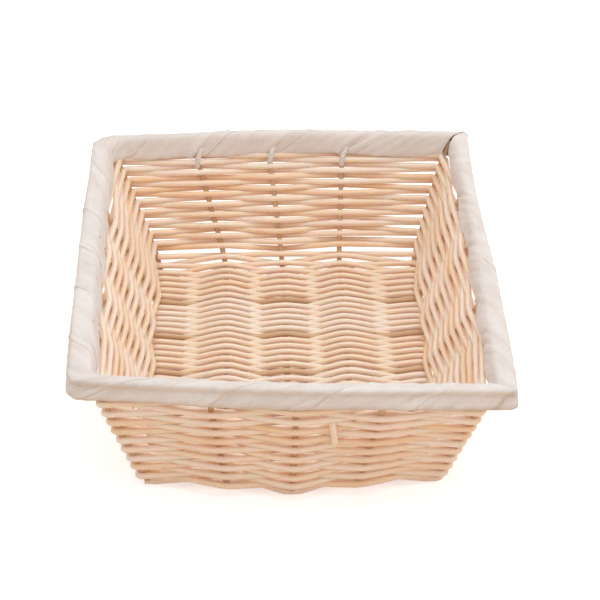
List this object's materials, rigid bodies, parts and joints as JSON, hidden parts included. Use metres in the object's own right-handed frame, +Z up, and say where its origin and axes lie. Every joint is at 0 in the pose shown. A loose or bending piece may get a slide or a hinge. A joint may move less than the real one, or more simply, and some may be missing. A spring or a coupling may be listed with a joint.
{
  "type": "display basket",
  "caption": "Open rectangular display basket of round woven cane on a rod frame, with flared walls and a cloth-wrapped rim.",
  "frame": {"origin": "on the surface that the basket stands on, under the middle of the rim", "axes": "+Z up, the front wall (a short side) faces -Y, +Y along the long sides"},
  "size_m": [0.26, 0.3302, 0.089],
  "materials": {
    "cane": "satin cream round cane",
    "rod": "matt taupe rod",
    "hoop": "raw bent strip",
    "cloth": "plain cream cotton"
  },
  "bodies": {
    "root": {"rib_left_corner": "rod", "rib_left": "rod", "rib_middle": "rod", "rib_right": "rod", "rib_right_corner": "rod", "cross_rod_1": "rod", "cross_rod_2": "rod", "cross_rod_3": "rod", "cross_rod_4": "rod", "floor_strand_1": "cane", "floor_strand_2": "cane", "floor_strand_3": "cane", "floor_strand_4": "cane", "floor_strand_5": "cane", "wall_course_01": "cane", "wall_course_02": "cane", "wall_course_03": "cane", "wall_course_04": "cane", "wall_course_05": "cane", "wall_course_06": "cane", "wall_course_07": "cane", "wall_course_08": "cane", "wall_course_09": "cane", "wall_course_10": "cane", "wall_course_11": "cane", "wall_course_12": "cane", "wall_course_13": "cane", "wall_course_14": "cane", "wall_course_15": "cane", "wall_course_16": "cane", "wall_course_17": "cane", "wall_course_18": "cane", "rim_hoop": "hoop", "rim_wrap": "cloth"}
  },
  "joints": []
}
